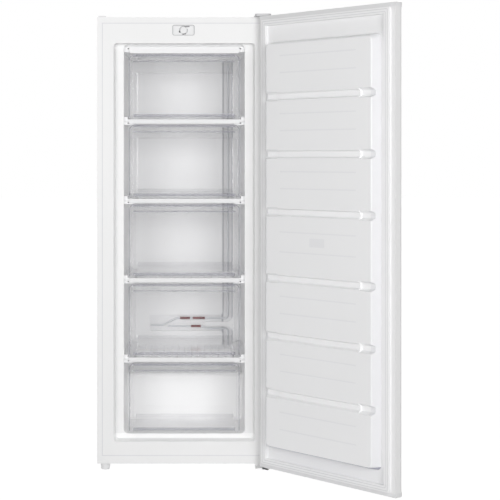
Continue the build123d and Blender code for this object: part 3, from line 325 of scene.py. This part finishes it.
print_ink = finish("grey_print", (0.16, 0.16, 0.17), (0.22, 0.22, 0.23), blotch=0.004, roughness=0.5)
rim_ink = finish("pale_print", (0.50, 0.50, 0.51), (0.56, 0.56, 0.57), blotch=0.006, roughness=0.5)
rim_inset = 0.001
rim_radius = 0.006
rim_width = 0.0022
tub_wall = 0.0015
tub_low, tub_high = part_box("thermostat_tub")
rim = rounded(tub_low[0] + rim_inset, tub_high[0] - rim_inset, tub_low[2] + rim_inset,
              tub_high[2] - rim_inset, rim_radius)
strip("tub_rim_line", rim, rim_width, cabinet_front - film, cabinet_front, rim_ink, closed=True)
knob_low, knob_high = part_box("thermostat_knob")
knob_x = (knob_low[0] + knob_high[0]) / 2
knob_z = (knob_low[2] + knob_high[2]) / 2
dial_radius = 0.0125
dial_back = tub_high[1] - tub_wall
dial_front = dial_back - 2 * film
for name, path, width, ink in (
        ("dial_arc", arc(knob_x, knob_z, dial_radius, 60, 200), 0.0030, rim_ink),
        ("dial_arc_right", arc(knob_x, knob_z, dial_radius, 25, -35), 0.0026, rim_ink),
        ("dial_dot", [(-0.0170, 1.3838), (-0.0115, 1.3838)], 0.0055, print_ink),
        ("dial_bar", [(0.0005, 1.3993), (0.0165, 1.4003)], 0.0030, print_ink),
        # Painted shadow below the knob
        ("knob_painted_shadow", [(-0.0060, 1.3762), (0.0055, 1.3788)], 0.0052, print_ink)):
    strip(name, path, width, dial_front, dial_back, ink)

# ---------------------------------------------------------------- back and base sheets
# The back, the underside and the walls of the machine compartment are plain zinc-coated sheet, with
# the spangle of the zinc showing.
spangles_per_metre = 90.0
zinc, set_zinc, on_zinc = start_material("zinc_sheet")
spangle = on_zinc.node(
    "ShaderNodeTexVoronoi", {}, {"Vector": on_zinc, "Scale": spangles_per_metre}, output="Color")
spangle = spangle.node("ShaderNodeSeparateColor", {}, {"Color": spangle})
set_zinc(
    Base_Color=spangle.blend((0.46, 0.48, 0.50), (0.62, 0.64, 0.66)),
    Metallic=0.85,
    Roughness=spangle * 0.22 + 0.32,
    Normal=on_zinc.noise(0.004).bump(0.00008, 0.3),
)
dress(zinc, "back_panel", "bottom_panel", "machine_wall", "compressor_plate", "condenser_brackets")

# ---------------------------------------------------------------- inner liner
# One sheet of white polystyrene, drawn by vacuum into the cabinet. Light and shade are painted into
# its colour: the inside is painted lighter than the front flange and stepped mouth, the lip below the
# mouth lighter as if lit from above, and painted shade greys the back wall and the wall's pipe channel.
margin = 0.001
mouth_depth = 0.0305
lip_low = 0.088
lip_high = 0.1125
lip_front = 0.002
back_wall_y = 0.180
channel_sides = (0.130, 0.165)
channel_edge = 0.0035
channel_depth = 0.02
liner_painted_grey = (0.42, 0.42, 0.46)
lip_light_share = 0.8
channel_shade_share = 0.12
channel_edge_shade_share = 0.55
back_wall_shade_share = 0.08
liner, set_liner, on_liner = start_material("formed_liner")
across_liner = on_liner.axis("X")
into_liner = on_liner.axis("Y")
# Painted light: the inside is lighter than the mouth, and so is the lip below the mouth.
inside_painted_lighter = on_liner.noise(0.30).blend((0.965, 0.965, 0.965), (0.98, 0.98, 0.98))
mouth_white = on_liner.noise(0.30).blend((0.845, 0.845, 0.845), (0.86, 0.86, 0.86))
on_mouth = into_liner.between(cabinet_front - margin, cabinet_front + mouth_depth)
painted_lip_light = on_liner.axis("Z").between(lip_low, lip_high) * into_liner.between(
    cabinet_front + lip_front, cabinet_front + mouth_depth)
liner_white_with_painted_light = (on_mouth - painted_lip_light * lip_light_share).blend(inside_painted_lighter, mouth_white)
# Painted shade on the back wall and in the pipe channel, darkest at the channel's sides.
on_back_wall = into_liner.between(back_wall_y - margin, back_wall_y + channel_depth)
in_channel = into_liner.between(back_wall_y + margin / 2, back_wall_y + channel_depth)
at_sides = sum(across_liner.between(side - channel_edge, side + channel_edge) for side in channel_sides)
liner_painted_shade = in_channel * (at_sides * channel_edge_shade_share + channel_shade_share) + on_back_wall * back_wall_shade_share
waves = on_liner.noise(0.07)
satin = on_liner.noise(0.0012) * 0.03
set_liner(
    Base_Color=liner_painted_shade.blend(liner_white_with_painted_light, liner_painted_grey),
    Roughness=on_liner.noise(0.08) * 0.10 + 0.32,
    Normal=(waves + satin).bump(0.0010, 0.30),
)
dress(liner, "cabinet_liner")

# ---------------------------------------------------------------- foam
# Rigid foam, blown between the liner and the sheets. It is the colour of cream, with fine closed
# cells, and stays out of sight.
foam = finish("rigid_foam", (0.78, 0.68, 0.42), (0.86, 0.78, 0.55), blotch=0.02, roughness=0.9,
              grain=0.0008, relief=0.0003, strength=0.6)
dress(foam, "cabinet_insulation", "door_insulation")

# ---------------------------------------------------------------- moulded white plastic
# Shelf trims, caps, the feet in front and the thermostat are injection moulded in white, with a fine
# satin grain from the mould. They are clipped or screwed in.
levels = range(1, 6)
moulded = finish("moulded_white", (0.80, 0.80, 0.805), (0.82, 0.82, 0.825), blotch=0.05, roughness=0.33,
                 uneven=0.10, patch=0.02, grain=0.0006, relief=0.00003, strength=0.5)
dress(moulded, "hinge_hole_cap", "door_top_cap", "door_bottom_cap", "door_bushes",
      "left_foot", "right_foot", "thermostat_tub", "thermostat_switch", "thermostat_knob",
      *[f"shelf_trim_{level}" for level in levels])

# ---------------------------------------------------------------- side rails
# The rails beside the drawers are moulded in milky plastic. A slot in each holds the shelf's edge,
# and the drawer above slides on the rail's foot.
milky = finish("milky_plastic", (0.95, 0.95, 0.96), (0.975, 0.975, 0.98), blotch=0.04, roughness=0.40,
               uneven=0.10, patch=0.02, grain=0.0006, relief=0.00003, strength=0.5)
dress(milky, "shelf_rails")

# ---------------------------------------------------------------- ribs of the front feet
# Each screw foot is moulded with a grip of upright ribs, so that it can be turned by hand. The ribs
# narrow towards their outer edge and lean in at the bottom.
rib_count = 18
rib_bottom = 0.003
rib_top = 0.0205
rib_lean = -0.0010
rib_root = (0.0130, 0.0012)
rib_edge = (0.0150, 0.0008)
for side in ("left", "right"):
    low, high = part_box(f"{side}_foot")
    middle_x = (low[0] + high[0]) / 2
    middle_y = (low[1] + high[1]) / 2
    corners = []
    faces = []
    for rib in range(rib_count):
        turn = 2 * math.pi * rib / rib_count
        for radius, half_width in (rib_root, rib_edge):
            for z, lean in ((rib_bottom, rib_lean), (rib_top, 0.0)):
                out = radius + lean
                for hand in (-1, 1):
                    corners.append((
                        middle_x + out * math.cos(turn) - hand * half_width * math.sin(turn),
                        middle_y + out * math.sin(turn) + hand * half_width * math.cos(turn), z))
        a = 8 * rib
        faces += [(a + 4, a + 5, a + 7, a + 6), (a, a + 2, a + 3, a + 1), (a, a + 4, a + 6, a + 2),
                  (a + 1, a + 3, a + 7, a + 5), (a + 2, a + 6, a + 7, a + 3), (a, a + 1, a + 5, a + 4)]
    ribs_mesh = bpy.data.meshes.new(f"{side}_foot_ribs")
    ribs_mesh.from_pydata(corners, [], faces)
    ribs_mesh.materials.append(moulded)
    ribs = bpy.data.objects.new(f"{side}_foot_ribs", ribs_mesh)
    bpy.context.collection.objects.link(ribs)
    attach(ribs, f"{side}_foot_body")

# ---------------------------------------------------------------- flange of the top trim
# Behind its face the top trim is moulded with a thin flange, which runs up to the liner's ceiling and
# closes the gap there.
ceiling = 1.347
flange_lap = 0.002
flange_wall = 0.0015
low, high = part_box("shelf_trim_1")
flange_middle = (high[2] + ceiling) / 2
strip("top_trim_flange", [(low[0], flange_middle), (high[0], flange_middle)],
      ceiling - high[2] + flange_lap, high[1] - flange_wall, high[1], moulded)

# ---------------------------------------------------------------- evaporator shelves
# Steel tube bent to and fro with wires welded across it, dipped in a white coating that is thicker
# in the corners.
dipped = finish("dipped_white", (0.92, 0.92, 0.93), (0.94, 0.94, 0.95), blotch=0.03, roughness=0.42,
                grain=0.002, relief=0.00012, strength=0.5)
dress(dipped, *[f"evaporator_shelf_{level}" for level in levels])

# ---------------------------------------------------------------- drawers
# Clear polystyrene, injection moulded. It is nearly colourless face on, and mirrors the white liner
# more and more where one looks along the wall.
mirror_most = 0.29
mirror_least = 0.012
clear, set_clear, on_clear = start_material("clear_polystyrene")
mirror_share = on_clear.node("ShaderNodeFresnel", {}, {"IOR": 1.5}, output="Fac")
set_clear(
    Base_Color=on_clear.noise(0.06).blend((0.965, 0.965, 0.975), (0.975, 0.975, 0.985)),
    Metallic=0.85,
    Roughness=0.08,
    Alpha=mirror_share * mirror_most + mirror_least,
    Normal=on_clear.noise(0.05).bump(0.0003, 0.20),
)
dress(clear, *[f"drawer_{level}" for level in levels])


# ---------------------------------------------------------------- edges of the drawers
# Light leaves a clear wall through its cut edges, so the front's ends, its upper edge and the folded
# grip look darker and faintly violet. This darkness, and the shade along the bends over the floor, is
# painted as thin tinted strips, weaker on the back wall's edges, which show through the front.
def edge_finish(name, dark, light, patch, uneven, alpha):
    """The painted shade of a clear wall's edge: a tint that covers little of what lies behind it."""
    material, set_inputs, place = start_material(name)
    set_inputs(
        Base_Color=place.noise(0.01).blend(dark, light),
        Roughness=0.2,
        Alpha=place.noise(patch) * uneven + alpha,
    )
    return material


# Painted shade for the drawers' edges and bends, laid on as tinted strips.
edge = edge_finish("clear_edge", (0.30, 0.30, 0.36), (0.40, 0.40, 0.46), 0.03, 0.08, 0.24)
far_edge = edge_finish("clear_edge_far", (0.34, 0.34, 0.40), (0.44, 0.44, 0.50), 0.05, 0.03, 0.05)
grip_reach = 0.013
grip_drop = 0.023
back_wall = 0.003
front_rise = 0.0067
edge_inset = 0.0015
edge_width = 0.0030
corner_radius = 0.012
bend_height = 0.02
line_inset = 0.0135
for level, place in enumerate(("top", "second", "third", "fourth", "bottom"), 1):
    low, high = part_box(f"drawer_{level}")
    body = f"{place}_drawer"
    grip_y = low[1]
    front_y = low[1] + grip_reach
    back_y = high[1] - back_wall
    front_low = low[2] + front_rise
    left = low[0] + edge_inset
    right = high[0] - edge_inset
    outline = rounded(left, right, front_low, high[2] - edge_inset, corner_radius)
    upper = [point for point in outline if point[1] > high[2] - bend_height]
    strip(f"drawer_{level}_front_edge", [(right, front_low)] + upper + [(left, front_low)],
          edge_width, front_y - 2 * film, front_y - film, edge, body=body)
    # The grip's upper fold and lower edge, the bend over the floor, and the back's rim and bend
    lines = ((high[2] - 0.0030, 0.0060, grip_y, edge),
             (high[2] - grip_drop + 0.0020, 0.0040, grip_y, edge),
             (front_low + 0.0050, 0.0090, front_y, edge),
             (high[2] - 0.0350, 0.0030, back_y, far_edge),
             (front_low + 0.0110, 0.0120, back_y, far_edge))
    for number, (z, width, face_y, material) in enumerate(lines, 1):
        strip(f"drawer_{level}_line_{number}", [(low[0] + line_inset, z), (high[0] - line_inset, z)],
              width, face_y - 2 * film, face_y - film, material, body=body)

# ---------------------------------------------------------------- pipes on the back wall
# The suction and liquid pipes are copper in a pale plastic coat, and their joints are covered with
# shrunk red sleeves.
pale_pipe = finish("pale_pipe", (0.66, 0.67, 0.70), (0.76, 0.77, 0.79), blotch=0.03, roughness=0.4,
                   grain=0.003, relief=0.0001, strength=0.4)
dress(pale_pipe, "outlet_pipe", "inlet_pipe")
red_sleeve = finish("red_sleeve", (0.07, 0.04, 0.04), (0.30, 0.03, 0.03), blotch=0.012, roughness=0.38,
                    grain=0.004, relief=0.0003, strength=0.5)
dress(red_sleeve, "pipe_sleeves")

# ---------------------------------------------------------------- door skin
# One sheet of coated steel folded round the front and both sides of the door, the same as the
# cabinet's.
dress(coat, "door_skin")

# ---------------------------------------------------------------- inner panel of the door
# White polystyrene drawn by vacuum, with seven raised fields between cross grooves. Shade is painted
# into its colour along the shallow lines across the fields and on the panel's lower and far flanks.
door_angle = math.radians(131.5)
pivot = (0.260, -0.2785)
door_inner = -0.2605
panel_crest = door_inner + 0.0335
panel_bottom = 0.090
line_depths = (0.0003, 0.0009)
flank_start = 0.0005
low_flank_below = 0.002
low_flank_above = 0.010
far_flank_ends = (-0.225, -0.200)
painted_shade_grey = (0.42, 0.42, 0.50)
line_share = 0.10
low_flank_share = 0.95
far_flank_share = 0.14
door_panel, set_door_panel, on_door_panel = start_material("formed_door_panel")
from_pivot_x = on_door_panel.axis("X") - pivot[0]
from_pivot_y = on_door_panel.axis("Y") - pivot[1]
out_from_door = from_pivot_x * -math.sin(door_angle) + from_pivot_y * math.cos(door_angle) + pivot[1]
along_door = from_pivot_x * math.cos(door_angle) + from_pivot_y * math.sin(door_angle) + pivot[0]
# Painted shade: darker in the shallow lines, on the lower flank and on the far flank.
in_lines = out_from_door.between(panel_crest - line_depths[1], panel_crest - line_depths[0])
on_flanks = out_from_door.between(door_inner + flank_start, panel_crest - margin)
low_flank = on_flanks * on_door_panel.axis("Z").between(
    panel_bottom - low_flank_below, panel_bottom + low_flank_above)
far_flank = on_flanks * along_door.between(*far_flank_ends)
painted_panel_shade = in_lines * line_share + low_flank * low_flank_share + far_flank * far_flank_share
panel_white = on_door_panel.noise(0.25).blend((0.915, 0.915, 0.92), (0.935, 0.935, 0.94))
panel_waves = on_door_panel.noise(0.05)
panel_satin = on_door_panel.noise(0.001) * 0.03
set_door_panel(
    Base_Color=painted_panel_shade.blend(panel_white, painted_shade_grey),
    Roughness=on_door_panel.noise(0.06) * 0.10 + 0.30,
    Normal=(panel_waves + panel_satin).bump(0.0008, 0.30),
)
dress(door_panel, "door_liner")

# ---------------------------------------------------------------- gasket
# Soft white vinyl, extruded with two folds and welded at its four corners. Rubber-bound magnets lie
# in its head and pull it to the cabinet. The shade in its folds is painted as grey lines.
vinyl = finish("soft_vinyl", (0.92, 0.92, 0.925), (0.94, 0.94, 0.945), blotch=0.04, roughness=0.55,
               grain=0.001, relief=0.00006, strength=0.5)
dress(vinyl, "door_gasket")
# Painted shade in the gasket's two folds, drawn as grey lines.
fold_painted_shade = finish("vinyl_fold_painted_shade", (0.74, 0.74, 0.75), (0.79, 0.79, 0.80), blotch=0.03, roughness=0.6)
swing_open = Matrix.Translation((*pivot, 0)) @ Matrix.Rotation(door_angle, 4, "Z") @ Matrix.Translation(
    (-pivot[0], -pivot[1], 0))
gasket_crest = door_inner + 0.0102
gasket_low = 0.034
gasket_high = 1.414
fold_width = 0.0022
fold_radius = 0.003
for number, inset in enumerate((0.0045, 0.0120), 1):
    strip(f"gasket_fold_painted_shade_{number}",
          rounded(-seam_half + inset, seam_half - inset, gasket_low + inset, gasket_high - inset,
                  fold_radius),
          fold_width, gasket_crest, gasket_crest + film, fold_painted_shade, closed=True, body="door",
          swing=swing_open)
magnet = finish("magnet_strip", (0.03, 0.028, 0.025), (0.05, 0.045, 0.04), blotch=0.01, roughness=0.7,
                grain=0.001, relief=0.00005, strength=0.5)
dress(magnet, "gasket_magnets")

# ---------------------------------------------------------------- hinges
# The upper hinge plate is coated grey under a grey moulded cover, and the lower bracket is coated
# white, with a thin black strip at its end. The pins are black, and the screws are zinc plated.
dress(coat, "lower_hinge_bracket")
black_coat = finish("black_coat", (0.018, 0.018, 0.019), (0.03, 0.03, 0.032), blotch=0.02, roughness=0.35,
                    uneven=0.15, patch=0.01, grain=0.0015, relief=0.00005, strength=0.5)
dress(black_coat, "hinge_pins")
black_plastic = finish("black_plastic", (0.02, 0.02, 0.02), (0.035, 0.035, 0.035), blotch=0.02,
                       roughness=0.5, grain=0.0006, relief=0.00004, strength=0.7)
# A thin black strip laid flat at the lower bracket's end.
dark_strip_ends = [(0.2440, 0.0165), (0.2620, 0.0122)]
dark_strip_width = 0.0045
dark_strip_front = -0.2903
dark_strip_back = -0.2896
strip("lower_hinge_dark_strip", dark_strip_ends, dark_strip_width, dark_strip_front, dark_strip_back, black_plastic)
grey_plastic = finish("grey_plastic", (0.58, 0.58, 0.59), (0.64, 0.64, 0.65), blotch=0.02, roughness=0.45,
                      grain=0.0006, relief=0.00004, strength=0.7)
dress(grey_plastic, "upper_hinge_cover", "upper_hinge_plate")
plated = finish("plated_steel", (0.60, 0.61, 0.62), (0.70, 0.71, 0.73), blotch=0.01, roughness=0.25,
                uneven=0.2, patch=0.004, grain=0.001, relief=0.00003, strength=0.4, Metallic=1.0)
dress(plated, "hinge_screws")

# ---------------------------------------------------------------- cooling machine
# The compressor's shell is black and bolted down on rubber, with the condenser of the same black over
# it. The relay box and the rear feet are black plastic, and the pipes and the drier are bare copper
# that has begun to darken.
dress(black_coat, "compressor", "discharge_line", "condenser_tube", "condenser_wires")
dress(black_plastic, "rear_feet", "relay_box")
dress(plated, "compressor_bolts")
rubber = finish("black_rubber", (0.02, 0.02, 0.02), (0.04, 0.04, 0.04), blotch=0.01, roughness=0.8,
                grain=0.0008, relief=0.00006, strength=0.6)
dress(rubber, "compressor_grommets")
copper = finish("bare_copper", (0.42, 0.18, 0.10), (0.72, 0.36, 0.22), blotch=0.02, roughness=0.25,
                uneven=0.25, patch=0.01, grain=0.002, relief=0.00004, strength=0.4, Metallic=1.0)
dress(copper, "suction_line", "filter_drier", "capillary_tube")
